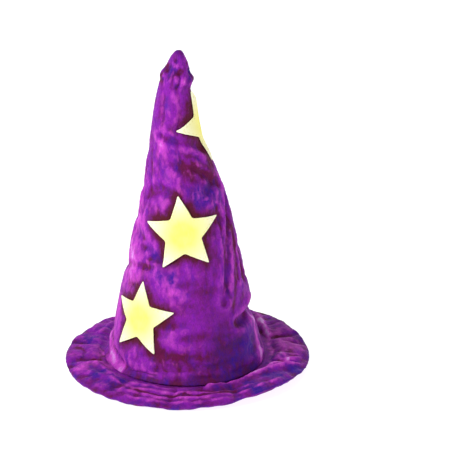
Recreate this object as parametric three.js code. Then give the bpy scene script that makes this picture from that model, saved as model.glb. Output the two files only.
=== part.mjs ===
// A soft costume witch hat: a tall velvet crown over a foam cone, a padded velvet brim with a wire
// in its edge, a ribbon sweatband in the head opening, and felt stars sewn round the crown.
// Millimetres, +Z up. The origin is the middle of the head opening, on the surface that the brim
// rests on. The front of the hat faces -Y. An azimuth is measured from the front towards +X.
import * as THREE from "three";
import { TessellateModifier } from "three/addons/modifiers/TessellateModifier.js";

// ---------------------------------------------------------------- driving dimensions
const SECTORS = 40; // facets round the hat
const GAP = 0.3; // between two layers that touch on the real hat

const VELVET = 1.2; // thickness, pile included
const LINING = 0.6;
const CROWN_FOAM = 3.0;
const BRIM_FOAM = 6.5;
const FELT = 1.6;

const BRIM_RADIUS = 155;
const HEAD_RADIUS = 90.5; // hole in the brim, before the sweatband goes in
const FLAT_RADIUS = 120; // inside this the brim lies flat, and outside it the edge lifts
const BRIM_RADII = [HEAD_RADIUS, FLAT_RADIUS, 127, 134, 141]; // rings of the brim's flat faces
const FOAM_RADIUS = 147;
const BRIM_EDGE = 5; // height of the edge where it lies flat
// Where the brim's edge curls up: the azimuth of each curl, its height and its half width.
const BRIM_CURLS = [
  { azimuth: 42, height: 8, spread: 26 },
  { azimuth: 134, height: 6, spread: 22 },
];

// The crown's outside from its seam with the brim to its point: [radius, height].
const CROWN_OUTLINE = [
  [96, 9.8],
  [92, 36],
  [84, 66],
  [68, 146],
  [48.5, 226],
  [31, 291],
  [23.5, 338],
  [20.5, 352],
  [20, 363],
  [12.5, 382],
  [5.5, 396],
  [2.5, 399],
];
// How the crown leans as it rises: [sideways offset of its middle, height].
const CROWN_AXIS = [
  [0, 9.8],
  [-3, 66],
  [-4, 226],
  [-12, 291],
  [-12.5, 338],
  [-7.5, 399],
];
// Heights of the rings that every layer of the crown shares. The crown bends between the last
// ring of its stiff part and the first ring of its soft tip.
const STIFF_RINGS = [9.8, 36, 66, 106, 146, 186, 226, 260, 291, 316, 340];
const NECK_RINGS = [340, 353, 366];
const TIP_RINGS = [366, 374, 382, 390, 396, 399];

const WIRE_RADIUS = 0.6;
const HOOP_RADIUS = 149.5;
const JOINER = { inner: 0.9, outer: 1.2, length: 14 };

const SWEATBAND = { thickness: 1.2, bottom: 1, seam: 9, top: 34, clearance: 0.5 };
const LABEL = { width: 26, height: 30, thickness: 0.5, bottom: 8, distance: 82.5 };

// Five-pointed felt stars. height is that of the star's middle, and turn is anticlockwise.
const STAR_RADIUS = 48;
const STAR_NOTCH_RADIUS = 22.5;
const STAR_STANDOFF = 0.6;
const STAR_SAG = 0.3; // how far a star's facets may stray from its curve
const STARS = [
  { name: "star_front_low", azimuth: -42, height: 81, turn: 0 },
  { name: "star_front_middle", azimuth: -1, height: 188, turn: 5 },
  { name: "star_right_high", azimuth: 99, height: 309, turn: 19 },
  { name: "star_back_right", azimuth: 140, height: 86, turn: 10 },
  { name: "star_back_middle", azimuth: 174, height: 212, turn: -6 },
  { name: "star_back_left", azimuth: -141, height: 124, turn: -9 },
];

// ---------------------------------------------------------------- materials
function cloth(color, roughness) {
  return new THREE.MeshStandardMaterial({ color, roughness, metalness: 0 });
}
const velvet = cloth(0x7a1f9c, 0.75);
const foam = cloth(0x2a2630, 0.95);
const satin = cloth(0x3d1459, 0.4);
const wadding = cloth(0xe9e6df, 1.0);
const felt = cloth(0xf7f08a, 0.95);
const ribbon = cloth(0x241a2e, 0.6);
const woven = cloth(0xf2f0ea, 0.7);
const steel = new THREE.MeshStandardMaterial({ color: 0x9a9ca0, roughness: 0.35, metalness: 1 });

// ---------------------------------------------------------------- the crown's shape
const { degToRad, lerp } = THREE.MathUtils;

// The first number of a list of [value, height], at any height, along a smooth curve through them.
function smoothValue(list, height) {
  const curve = new THREE.SplineCurve(list.map(([value, z]) => new THREE.Vector2(value, z)));
  let low = 0;
  let high = 1;
  for (let step = 0; step < 40; step += 1) {
    const middle = (low + high) / 2;
    if (curve.getPoint(middle).y < height) low = middle;
    else high = middle;
  }
  return curve.getPoint(low).x;
}

const RINGS = [...STIFF_RINGS, ...NECK_RINGS.slice(1), ...TIP_RINGS.slice(1)].map((height) => ({
  height,
  radius: smoothValue(CROWN_OUTLINE, height),
  offset: smoothValue(CROWN_AXIS, height),
}));

// The crown's outer radius and sideways offset at any height, straight between two rings.
function crownAt(height) {
  const above = RINGS.findIndex((ring) => ring.height >= height);
  const high = RINGS[above < 0 ? RINGS.length - 1 : Math.max(above, 1)];
  const low = RINGS[RINGS.indexOf(high) - 1];
  const share = Math.max(0, (height - low.height) / (high.height - low.height));
  return {
    radius: lerp(low.radius, high.radius, share),
    offset: lerp(low.offset, high.offset, share),
    slope: Math.atan2(low.radius - high.radius, high.height - low.height),
  };
}

// ---------------------------------------------------------------- geometry helpers
// Turns a profile of [radius, height] round the Z axis. One that starts off the axis is closed.
function turned(profile, sectors = SECTORS) {
  const closed = profile[0][0] > 0 ? [...profile, profile[0]] : profile;
  const points = closed.map(([radius, height]) => new THREE.Vector2(radius, height));
  return new THREE.LatheGeometry(points, sectors).rotateX(Math.PI / 2);
}

// Moves every vertex by a function that changes the point it is given.
function reshaped(geometry, move) {
  const position = geometry.getAttribute("position");
  const point = new THREE.Vector3();
  for (let i = 0; i < position.count; i += 1) {
    move(point.fromBufferAttribute(position, i));
    position.setXYZ(i, point.x, point.y, point.z);
  }
  return geometry;
}

const leaned = (geometry) => reshaped(geometry, (p) => (p.x += crownAt(p.z).offset));

// The profile of the crown's surface at a depth under its outer face, from the bottom up.
const crownWall = (heights, depth) => heights.map((z) => [crownAt(z).radius - depth, z]);

// One layer of the crown, between two depths under its outer face, open at both ends.
function crownLayer(heights, outerDepth, innerDepth) {
  const outside = crownWall(heights, outerDepth);
  return leaned(turned([...outside, ...crownWall(heights, innerDepth).reverse()]));
}

// A layer that is closed at its top.
function crownCap(heights, outerDepth, innerDepth) {
  const top = heights.at(-1);
  const inner = top - (innerDepth - outerDepth);
  const outside = [...crownWall(heights, outerDepth), [0, top]];
  const inside = [...crownWall([...heights.slice(0, -1), inner], innerDepth), [0, inner]];
  return leaned(turned([...inside.reverse(), ...outside]));
}

function brimCurl(azimuth) {
  return BRIM_CURLS.reduce((sum, curl) => {
    const away = (azimuth - curl.azimuth) / curl.spread;
    return sum + curl.height * Math.exp(-away * away);
  }, 0);
}

// Lifts what lies outside FLAT_RADIUS by the curl of the brim's edge there.
function curled(geometry) {
  return reshaped(geometry, (p) => {
    const out = Math.max(0, Math.hypot(p.x, p.y) - FLAT_RADIUS) / (BRIM_RADIUS - FLAT_RADIUS);
    p.z += out * brimCurl(THREE.MathUtils.radToDeg(Math.atan2(p.x, -p.y)));
  });
}

const hat = new THREE.Group();
function add(name, geometry, material) {
  const mesh = new THREE.Mesh(geometry, material);
  mesh.name = name;
  hat.add(mesh);
  return mesh;
}

// ---------------------------------------------------------------- the crown
// Velvet outside, then foam, then a satin lining. The foam and lining stop below the soft tip.
function buildCrown() {
  const foamDepth = VELVET + GAP;
  const liningDepth = foamDepth + CROWN_FOAM + GAP;
  add("crown_velvet", crownLayer(STIFF_RINGS, 0, VELVET), velvet);
  add("crown_foam", crownLayer(STIFF_RINGS, foamDepth, foamDepth + CROWN_FOAM), foam);
  add("crown_lining", crownCap(STIFF_RINGS, liningDepth, liningDepth + LINING), satin);
  const [bottom, middle, top] = NECK_RINGS;
  add("crown_neck_velvet", crownLayer([bottom + GAP, middle, top - GAP], 0, VELVET), velvet);
}

// The soft end of the crown is one velvet cap with a plug of wadding in it.
function buildTip() {
  add("crown_tip_velvet", crownCap(TIP_RINGS, 0, VELVET), velvet);
  const side = crownWall(TIP_RINGS.slice(0, 4), VELVET + 2 * GAP);
  const [bottom, top] = [side[0][1], side.at(-1)[1]];
  add("tip_wadding", leaned(turned([[0, bottom], ...side, [0, top]])), wadding);
}

// ---------------------------------------------------------------- the brim
// A foam ring between two velvet faces. The faces meet in a turned edge with a wire hoop inside.
function buildBrim() {
  const foamBottom = VELVET + GAP;
  const foamTop = foamBottom + BRIM_FOAM;
  const level = (height) => BRIM_RADII.map((radius) => [radius, height]);
  const foamRing = [
    ...level(foamBottom),
    [FOAM_RADIUS, BRIM_EDGE - 0.8],
    [FOAM_RADIUS, BRIM_EDGE + 0.8],
    ...level(foamTop).reverse(),
  ];
  const topFace = [
    ...level(foamTop + GAP),
    [149.5, BRIM_EDGE + 1.6],
    [154, BRIM_EDGE + 0.2],
    [BRIM_RADIUS, BRIM_EDGE + 0.3],
    [151, BRIM_EDGE + 2.8],
    ...level(foamTop + GAP + VELVET).reverse(),
  ];
  const underside = [
    ...level(0),
    [151, BRIM_EDGE - 2.8],
    [BRIM_RADIUS, BRIM_EDGE - 0.3],
    [154, BRIM_EDGE - 0.2],
    [149.5, BRIM_EDGE - 1.6],
    ...level(VELVET).reverse(),
  ];
  add("brim_underside_velvet", curled(turned(underside)), velvet);
  add("brim_foam", curled(turned(foamRing)), foam);
  add("brim_top_velvet", curled(turned(topFace)), velvet);
  const hoop = new THREE.TorusGeometry(HOOP_RADIUS, WIRE_RADIUS, 6, SECTORS);
  hoop.rotateZ(-Math.PI / 2).translate(0, 0, BRIM_EDGE);
  add("brim_wire", curled(hoop), steel);
  const { inner, outer, length } = JOINER;
  const sleeve = [
    [inner, -length / 2],
    [outer, -length / 2],
    [outer, length / 2],
    [inner, length / 2],
  ];
  const halfSector = Math.PI / SECTORS; // the sleeve sits on the middle of one straight facet
  const joiner = turned(sleeve, 12).rotateY(Math.PI / 2);
  joiner.translate(0, HOOP_RADIUS * Math.cos(halfSector), BRIM_EDGE).rotateZ(halfSector);
  add("wire_joiner", joiner, steel);
}

// ---------------------------------------------------------------- the head opening
function buildSweatband() {
  const { thickness, bottom, seam, top, clearance } = SWEATBAND;
  const lined = VELVET + CROWN_FOAM + LINING + 2 * GAP + clearance;
  const low = HEAD_RADIUS - clearance;
  const high = crownAt(top).radius - lined;
  const middle = Math.min(low, crownAt(seam + 3).radius - lined);
  const outside = [
    [middle, bottom],
    [middle, seam],
    [high, top],
  ];
  const inside = outside.map(([radius, z]) => [radius - thickness, z]).reverse();
  add("sweatband", leaned(turned([...outside, ...inside])), ribbon);
}

function buildLabel() {
  const { width, height, thickness, bottom, distance } = LABEL;
  const tag = new THREE.BoxGeometry(width, thickness, height);
  add("size_label", tag.translate(0, distance, bottom + height / 2), woven);
}

// ---------------------------------------------------------------- the stars
function starOutline() {
  const points = Array.from({ length: 10 }, (_, i) => {
    const radius = i % 2 ? STAR_NOTCH_RADIUS : STAR_RADIUS;
    const angle = Math.PI / 2 + (i * Math.PI) / 5;
    return new THREE.Vector2(radius * Math.cos(angle), radius * Math.sin(angle));
  });
  return new THREE.Shape(points);
}

// Lays a flat star on the crown: across it becomes distance round, and up it distance up the slope.
function buildStar({ name, azimuth, height, turn }) {
  const flat = new THREE.ExtrudeGeometry(starOutline(), { depth: FELT, bevelEnabled: false });
  const longest = Math.sqrt(8 * STAR_SAG * crownAt(height + STAR_RADIUS).radius);
  const facets = new TessellateModifier(longest, 8).modify(flat.rotateZ(degToRad(turn)));
  const laid = reshaped(facets, (p) => {
    const z = height + p.y * Math.cos(crownAt(height).slope);
    const { radius, offset } = crownAt(z);
    const angle = degToRad(azimuth) + p.x / radius;
    const reach = radius + STAR_STANDOFF + p.z;
    p.set(offset + reach * Math.sin(angle), -reach * Math.cos(angle), z);
  });
  add(name, laid, felt);
}

buildCrown();
buildTip();
buildBrim();
buildSweatband();
buildLabel();
STARS.forEach(buildStar);

export default hat;
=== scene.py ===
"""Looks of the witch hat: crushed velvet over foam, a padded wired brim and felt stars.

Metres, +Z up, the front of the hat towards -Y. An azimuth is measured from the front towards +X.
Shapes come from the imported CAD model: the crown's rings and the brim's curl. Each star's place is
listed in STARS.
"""

import math

import bpy
import numpy as np
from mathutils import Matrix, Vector, noise
from mathutils.bvhtree import BVHTree


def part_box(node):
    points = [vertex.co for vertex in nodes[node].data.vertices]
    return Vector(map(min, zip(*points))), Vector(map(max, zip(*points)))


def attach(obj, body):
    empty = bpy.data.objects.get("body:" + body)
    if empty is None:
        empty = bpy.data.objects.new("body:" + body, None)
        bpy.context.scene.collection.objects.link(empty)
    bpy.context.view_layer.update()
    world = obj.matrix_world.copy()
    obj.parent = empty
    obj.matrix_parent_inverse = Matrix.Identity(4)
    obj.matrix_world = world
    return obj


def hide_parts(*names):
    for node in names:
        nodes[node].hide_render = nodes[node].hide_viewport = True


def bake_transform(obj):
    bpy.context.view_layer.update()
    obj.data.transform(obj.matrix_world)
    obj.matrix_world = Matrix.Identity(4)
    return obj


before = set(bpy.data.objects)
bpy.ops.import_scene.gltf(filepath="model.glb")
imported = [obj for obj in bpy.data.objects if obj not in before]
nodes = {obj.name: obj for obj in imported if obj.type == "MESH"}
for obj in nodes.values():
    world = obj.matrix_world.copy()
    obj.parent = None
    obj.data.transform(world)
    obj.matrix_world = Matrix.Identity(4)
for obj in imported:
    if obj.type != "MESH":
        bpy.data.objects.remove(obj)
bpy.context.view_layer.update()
MM = 0.001
TAU = 2 * math.pi

# -------- camera
CAMERA_AT = (0.0, -1.909, 0.880)
CAMERA_AIM = (0.0485, 0.0, 0.177)
LENS = 131.9

camera_data = bpy.data.cameras.new("camera")
camera_data.lens = LENS
camera_data.clip_start = 0.05
camera = bpy.data.objects.new("camera", camera_data)
camera.location = CAMERA_AT
camera.rotation_mode = "QUATERNION"
camera.rotation_quaternion = (Vector(CAMERA_AIM) - Vector(CAMERA_AT)).to_track_quat("-Z", "Y")
bpy.context.scene.collection.objects.link(camera)
bpy.context.scene.camera = camera


# -------- small helpers
def smooth(x):
    x = np.clip(x, 0.0, 1.0)
    return x * x * (3 - 2 * x)


def bump(x):
    """1 at 0, falling smoothly to nothing by about 2."""
    return np.exp(-np.square(x))


def angle_from(azimuth, centre):
    """The turn from centre to azimuth, in degrees from -180 to 180."""
    return (azimuth - centre + 180) % 360 - 180


def rough(points, size, octaves=3, seed=0):
    """Smooth noise of about -1 to 1 at each point, with lumps of that size."""
    shift = Vector((seed * 7.31, seed * 3.17, seed * 5.93))
    return np.array([noise.fractal(Vector(p) / size + shift, 0.9, 2.1, octaves) for p in points])


def threes(items, key):
    """The three numbers that each of Blender's items has under key."""
    flat = np.zeros(len(items) * 3, np.float32)
    items.foreach_get(key, flat)
    return flat.reshape(-1, 3).astype(float)


def vertices_of(obj):
    return threes(obj.data.vertices, "co")


def around(turn, radius, z, middle=0.0):
    """Points round an upright axis at x = middle, by their turns in radians from the front."""
    return np.stack([middle + radius * np.sin(turn), -radius * np.cos(turn), z + 0 * turn], axis=-1)


def grid_faces(rows, columns, closed=True, looped=False):
    """Quads of a grid of points, row by row. A closed grid joins its last column to its first, and
    a looped one its last row to its first."""
    row, column = np.meshgrid(
        np.arange(rows if looped else rows - 1),
        np.arange(columns if closed else columns - 1),
        indexing="ij",
    )
    a = row * columns + column
    b = row * columns + (column + 1) % columns
    quads = np.stack([a, b, b + columns, a + columns], axis=-1)
    return quads.reshape(-1, 4) % (rows * columns)


def fan(first, columns, tip, turned=False):
    """Triangles from a ring of points, which starts at first, to the point tip."""
    pairs = [(first + k, first + (k + 1) % columns) for k in range(columns)]
    return [[*(pair[::-1] if turned else pair), tip] for pair in pairs]


def make_mesh(name, points, faces, **marks):
    """A smooth-shaded object. Each mark is stored on its points, as three numbers a point."""
    mesh = bpy.data.meshes.new(name)
    mesh.from_pydata([tuple(p) for p in points], [], [tuple(int(i) for i in f) for f in faces])
    mesh.validate()
    mesh.shade_smooth()
    obj = bpy.data.objects.new(name, mesh)
    bpy.context.scene.collection.objects.link(obj)
    for mark, values in marks.items():
        put_mark(obj, mark, values)
    return obj


def capped(name, rings, top, bottom=None, **marks):
    """A mesh of rings from the bottom up, closed at its top, and at its bottom if that is given."""
    columns = len(rings[0])
    points = [*np.concatenate(rings), top]
    faces = grid_faces(len(rings), columns).tolist()
    faces += fan(len(points) - 1 - columns, columns, len(points) - 1)
    if bottom is not None:
        points.append(bottom)
        faces += fan(0, columns, len(points) - 1, turned=True)
    return make_mesh(name, points, faces, **marks)


def put_mark(obj, mark, values):
    made = obj.data.attributes.new(mark, "FLOAT_VECTOR", "POINT")
    made.data.foreach_set("vector", np.asarray(values, np.float32).ravel())


def take_mark(obj, mark):
    """The values of a mark, which then goes from the object."""
    found = obj.data.attributes[mark]
    values = threes(found.data, "vector")
    obj.data.attributes.remove(found)
    return values


def normals_of(points, faces):
    """Unit normals at the points of a mesh of quads."""
    corners = points[faces]
    across = np.cross(corners[:, 2] - corners[:, 0], corners[:, 3] - corners[:, 1])
    total = np.zeros_like(points)
    for k in range(4):
        np.add.at(total, faces[:, k], across)
    return total / np.maximum(np.linalg.norm(total, axis=1, keepdims=True), 1e-12)


def apply_modifiers(obj):
    """Gives obj the mesh that its modifiers make."""
    graph = bpy.context.evaluated_depsgraph_get()
    made = bpy.data.meshes.new_from_object(obj.evaluated_get(graph), depsgraph=graph)
    obj.modifiers.clear()
    obj.data = made
    return obj


def subdivided(obj, levels=1):
    modifier = obj.modifiers.new("subdivide", "SUBSURF")
    modifier.levels = modifier.render_levels = levels
    modifier.boundary_smooth = "PRESERVE_CORNERS"
    return apply_modifiers(obj)


def remove(obj):
    bpy.data.objects.remove(obj, do_unlink=True)


def crumple(obj, depth, seed, share):
    """Moves points in and out by soft ridges 8 mm apart. share lessens it, point by point."""
    points = vertices_of(obj)
    ridges = 0.5 - np.abs(rough(points, 8 * MM, 3, seed))
    moved = points + threes(obj.data.vertices, "normal") * (ridges * depth * share)[:, None]
    obj.data.vertices.foreach_set("co", moved.ravel())
    obj.data.update()


# -------- shapes from the CAD model
CROWN_NODES = ("crown_velvet", "crown_neck_velvet", "crown_tip_velvet")


def crown_rings():
    """Height, middle and radius of the crown's outer face at each of its rings."""
    found = {}
    for name in CROWN_NODES:
        for x, _, z in vertices_of(nodes[name]):
            low, high = found.get(round(z, 5), (1.0, -1.0))
            found[round(z, 5)] = (min(low, x), max(high, x))
    return np.array([(z, (a + b) / 2, (b - a) / 2) for z, (a, b) in sorted(found.items())])


RINGS = crown_rings()
RINGS = RINGS[RINGS[:, 2] > 2 * MM]
CROWN_FOOT = RINGS[0, 0]
CROWN_TOP = RINGS[-1, 0]
FINE_Z = np.linspace(CROWN_FOOT - 0.02, CROWN_TOP + 0.02, 1200)


def softened(values):
    """Rounds the kinks of a curve sampled at FINE_Z."""
    kernel = bump(np.linspace(-2, 2, 61))
    padded = np.concatenate([np.full(30, values[0]), values, np.full(30, values[-1])])
    return np.convolve(padded, kernel / kernel.sum(), "valid")


FINE_MIDDLE = softened(np.interp(FINE_Z, RINGS[:, 0], RINGS[:, 1]))
FINE_RADIUS = softened(np.interp(FINE_Z, RINGS[:, 0], RINGS[:, 2]))


def crown_middle(z):
    return np.interp(z, FINE_Z, FINE_MIDDLE)


def crown_radius(z):
    return np.interp(z, FINE_Z, FINE_RADIUS)


def crown_points(azimuth, z, depth=0.0):
    """Points of the plain crown at azimuths in degrees and heights, depth under its face."""
    return around(np.radians(azimuth), crown_radius(z) - depth, z, crown_middle(z))


def crown_flat(azimuth, z, centre=0):
    """Places on the crown's cloth laid flat, in metres, with azimuth centre at its middle."""
    return np.radians(angle_from(azimuth, centre)) * crown_radius(z), z


wire_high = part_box("brim_wire")[1]
BRIM_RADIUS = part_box("brim_underside_velvet")[1].x
FLAT_RADIUS = 120 * MM  # the brim starts to curl up here
WIRE_THICKNESS = 1.2 * MM


def wire_heights():
    """Azimuth and height of the wire in the brim's edge, all the way round."""
    p = vertices_of(nodes["brim_wire"])
    azimuth = np.degrees(np.arctan2(p[:, 0], -p[:, 1]))
    steps = np.arange(-180, 181, 9)
    heights = [p[np.abs(angle_from(azimuth, a)) < 2, 2].mean() for a in steps]
    return steps, np.array(heights)


WIRE_AZIMUTH, WIRE_HEIGHT = wire_heights()
WIRE_RADIUS = wire_high.x - WIRE_THICKNESS / 2
EDGE_HEIGHT = WIRE_HEIGHT.min()


def brim_curl(azimuth, radius):
    """How far the brim is lifted at azimuths in degrees and radii in metres."""
    lift = np.interp(angle_from(azimuth, 0), WIRE_AZIMUTH, WIRE_HEIGHT) - EDGE_HEIGHT
    out = np.clip((radius - FLAT_RADIUS) / (BRIM_RADIUS - FLAT_RADIUS), 0, None)
    return out * (lift * (BRIM_RADIUS - FLAT_RADIUS) / (WIRE_RADIUS - FLAT_RADIUS))


# -------- cloth simulation
SIM_SCALE = 10.0  # cloth is simulated ten times life size, where Blender's solver is steadier
LUMP_SIZE = 35 * MM  # of the lumps that a cloth starts with, so that it wrinkles unevenly
LUMP_DEPTH = 1.2 * MM
CLOTH = {
    "quality": 6, "mass": 0.3, "air_damping": 2, "use_pressure": True, "vertex_group_mass": "hold",
    "tension_stiffness": 15, "compression_stiffness": 15, "shear_stiffness": 5,
}


def simulate(points, faces, hold, grow, frames, bending, pressure, gravity=0.0):
    """Where the points of a cloth come to rest. It grows by the share grow while it settles, so
    that it wrinkles, and hold is how firmly each point is pinned, from 0 to 1."""
    scene = bpy.context.scene
    cloth = make_mesh("cloth", points * SIM_SCALE, faces)
    pins = cloth.vertex_groups.new(name="hold")
    for value in np.unique(hold):
        pins.add([int(i) for i in np.flatnonzero(hold == value)], float(value), "REPLACE")
    modifier = cloth.modifiers.new("cloth", "CLOTH")
    for key, value in CLOTH.items():
        setattr(modifier.settings, key, value)
    modifier.settings.shrink_min = -grow
    modifier.settings.bending_stiffness = bending
    modifier.settings.effector_weights.gravity = gravity
    modifier.settings.uniform_pressure_force = pressure
    modifier.point_cache.frame_end = frames
    for step in range(1, frames + 1):
        scene.frame_set(step)
    ended = vertices_of(apply_modifiers(cloth)) / SIM_SCALE
    scene.frame_set(1)
    remove(cloth)
    return ended


def near(grid, rows, columns, pick):
    """A grid with pick called on the values that are within that many rows and columns of each
    of its points. Its columns go round."""
    last = len(grid) - 1
    shifted = [grid[np.clip(np.arange(last + 1) + k, 0, last)] for k in range(-rows, rows + 1)]
    grid = pick(shifted, axis=0)
    return pick([np.roll(grid, k, axis=1) for k in range(-columns, columns + 1)], axis=0)


def soft_mean(parts, axis):
    """A mean that counts the middle ones most."""
    return np.average(parts, axis=axis, weights=bump(np.linspace(-1.75, 1.75, len(parts))))


def wrinkles(points, faces, hold, most, broad, seed, **how):
    """How far wrinkles move each point of a grid: what simulation does to it, less the swell over
    broad rows and columns, and none more than about most."""
    flat_hold = hold.reshape(-1, 1)
    lumps = rough(points, LUMP_SIZE, 2, seed)[:, None] * LUMP_DEPTH
    start = points + normals_of(points, faces) * lumps * (1 - flat_hold)
    moved = simulate(start, faces, hold.ravel(), **how) - points
    moved = moved.reshape(*hold.shape, 3)
    moved = moved - near(moved, *broad, soft_mean)
    far = np.linalg.norm(moved, axis=2, keepdims=True)
    return moved * most * np.tanh(far / most) / np.maximum(far, 1e-9)


def far_from(path, x, y):
    """How far points are from a line through the points of path, all on the flat cloth."""
    nearest = np.full(np.shape(x), 1.0)
    for (ax, ay), (bx, by) in zip(path, path[1:]):
        dx, dy = bx - ax, by - ay
        t = np.clip(((x - ax) * dx + (y - ay) * dy) / (dx * dx + dy * dy), 0, 1)
        nearest = np.minimum(nearest, np.hypot(x - ax - t * dx, y - ay - t * dy))
    return nearest


def crease(distance, width, depth):
    """A fold pressed in along a line, with a soft lip on each side of it."""
    return depth * (0.5 * bump((distance - 2 * width) / width) - bump(distance / width))


def tubes(name, paths, radius, sides=6):
    """One mesh of thin closed tubes, one along each path, with their ends drawn in."""
    points, faces = [], []
    for path in paths:
        ahead = np.gradient(path, axis=0)
        ahead /= np.linalg.norm(ahead, axis=1, keepdims=True)
        side = np.cross(ahead, (0.31, 0.22, 0.92))
        side /= np.linalg.norm(side, axis=1, keepdims=True)
        other = np.cross(ahead, side)
        first = len(points)
        for k, middle in enumerate(path):
            width = radius * (0.45 if k in (0, len(path) - 1) else 1.0)
            for corner in range(sides):
                turn = TAU * corner / sides
                points.append(middle + width * (math.cos(turn) * side[k] + math.sin(turn) * other[k]))
        faces += (first + grid_faces(len(path), sides)).tolist()
        faces.append([first + k for k in reversed(range(sides))])
        faces.append([first + (len(path) - 1) * sides + k for k in range(sides)])
    return make_mesh(name, points, faces)


# -------- where the stars are
# Azimuth in degrees and height in mm of each star's middle, and its turn anticlockwise.
STARS = {
    "star_front_low": (-42, 81, 0),
    "star_front_middle": (-1, 188, 5),
    "star_right_high": (99, 309, 19),
    "star_back_right": (140, 86, 10),
    "star_back_middle": (174, 212, -6),
    "star_back_left": (-141, 124, -9),
}
STAR_RADIUS = 48 * MM
STAR_NOTCH_RADIUS = 22.5 * MM
STAR_STEPS = 14  # points along each of a star's ten edges


def star_outline():
    """The points round a flat star, with its corners just rounded."""
    corners = []
    for k in range(11):
        radius = STAR_NOTCH_RADIUS if k % 2 else STAR_RADIUS
        turn = math.pi / 2 + k * math.pi / 5
        corners.append((radius * math.cos(turn), radius * math.sin(turn)))
    steps = np.linspace(0, 1, STAR_STEPS, endpoint=False)[:, None]
    edges = [np.array(a) + steps * (np.array(b) - a) for a, b in zip(corners, corners[1:])]
    loop = np.concatenate(edges)
    return (np.roll(loop, 1, axis=0) + 2 * loop + np.roll(loop, -1, axis=0)) / 4


STAR_OUTLINE = star_outline()


def star_slope(height):
    rise = 10 * MM
    return math.atan2(crown_radius(height - rise) - crown_radius(height + rise), 2 * rise)


def on_star(name, azimuth, z):
    """Where places on the crown are on a star's own flat cloth: across it and up it."""
    centre, height, turn = STARS[name]
    up = (z - height * MM) / math.cos(star_slope(height * MM))
    spot = (crown_flat(azimuth, z, centre)[0] + 1j * up) * np.exp(-1j * math.radians(turn))
    return spot.real, spot.imag


def off_star(name, x, y):
    """The azimuths and heights of places on a star's flat cloth."""
    centre, height, turn = STARS[name]
    spot = (x + 1j * y) * np.exp(1j * math.radians(turn))
    z = height * MM + spot.imag * math.cos(star_slope(height * MM))
    return centre + np.degrees(spot.real / crown_radius(z)), z


# -------- the crown's velvet
CROWN_COLUMNS = 128
CROWN_ROWS = 132
SEAM_AZIMUTH = 180
# Two creases down its right side: points of azimuth and height in mm.
LONG_CREASE = [(49, 214), (50, 186), (47, 152), (44, 124), (46, 104)]
SIDE_CREASE = [(66, 218), (71, 182), (67, 150), (62, 122)]
# Folds that the crown keeps: points of azimuth and height in mm, then width and depth in mm.
CROWN_FOLDS = [
    ([(52, 70), (75, 77), (104, 76), (128, 80)], 5.5, 4.5),
    ([(-34, 300), (0, 296), (36, 292), (64, 281)], 4, 3),
    ([(86, 222), (66, 190), (54, 165), (45, 126), (38, 100)], 4, 3.6),
    ([(104, 205), (84, 160), (74, 118)], 5, 2.6),
    ([(-18, 52), (-2, 44), (24, 42), (48, 48)], 6, 1.6),
    ([(150, 150), (178, 140), (206, 146)], 6, 3),
    ([(-110, 255), (-150, 262), (-190, 254)], 5, 3),
    ([(28, 262), (44, 256), (58, 243), (70, 236)], 4, 3.2),
    (LONG_CREASE, 2.4, 1.6), (SIDE_CREASE, 2.4, 1.8),
    ([(95, 196), (90, 160), (86, 128), (88, 104)], 2.6, 1.8),
    ([(-84, 262), (-78, 214), (-82, 168)], 2.6, 1.2),
    ([(-60, 268), (-56, 236), (-62, 204)], 2.4, 1),
    ([(-34, 350), (-30, 322), (-36, 300)], 2, 0.9),
    ([(12, 352), (14, 326), (8, 304)], 2, 0.9),
]
# Dents: azimuth and height in mm of the middle, then reach and depth in mm.
CROWN_DENTS = [
    (44, 250, 14, 2.5), (22, 118, 22, 2), (-75, 128, 20, 2), (78, 92, 9, -1), (-54, 378, 4.5, 3.6),
    (72, 374, 4.5, 3.6), (4, 375, 3.5, 2.2), (84, 352, 8, 4.6), (98, 74, 18, 6), (106, 40, 30, 5),
    (84, 30, 16, 3),
]
# The gathered tip is dimpled all over, by a golden angle from one dimple to the next.
TIP_DIMPLES = [(137.5 * k, 359 + 2.2 * k) for k in range(15)]
CROWN_DENTS += [(azimuth, height, 3.0, 1.5) for azimuth, height in TIP_DIMPLES]
# Where the velvet is pulled smooth: azimuth, height in mm, how far round and up, and how much.
CROWN_TAUT = [(-92, 190, 42, 220, 0.5), (24, 78, 38, 56, 0.8), (76, 170, 34, 80, 0.45)]
CROWN_EVEN = (24, 82, 34, 46, 0.75)  # a stretch where its colour is even too
RUFFLE_HEIGHT = 367 * MM  # where the gathered tip stands out
RUFFLE = 2.6 * MM
RUFFLE_TILT = 3.5 * MM  # how much lower it stands at the right than in the middle
# How far the crown's foot turns out over the brim, and within what height, in mm: a broad flare
# and a small lip.
FLARES = ((6.5, 11), (4.0, 3))
TUCK = 0.72 * MM  # how far the foot's edge is sewn down into the brim's pile
FLARE_LOSS = 0.75  # the share of the flare that is missing where the foot is drawn in
FLARE_LOSS_AZIMUTH = 94
SEAM_DEPTH = 1.4 * MM
SEAM_WIDTH = 1.6 * MM

crown_z = np.linspace(CROWN_FOOT, CROWN_TOP - 1.8 * MM, CROWN_ROWS)
crown_azimuth = np.arange(CROWN_COLUMNS) * 360 / CROWN_COLUMNS
grid_z, grid_azimuth = np.meshgrid(crown_z, crown_azimuth, indexing="ij")


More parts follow.
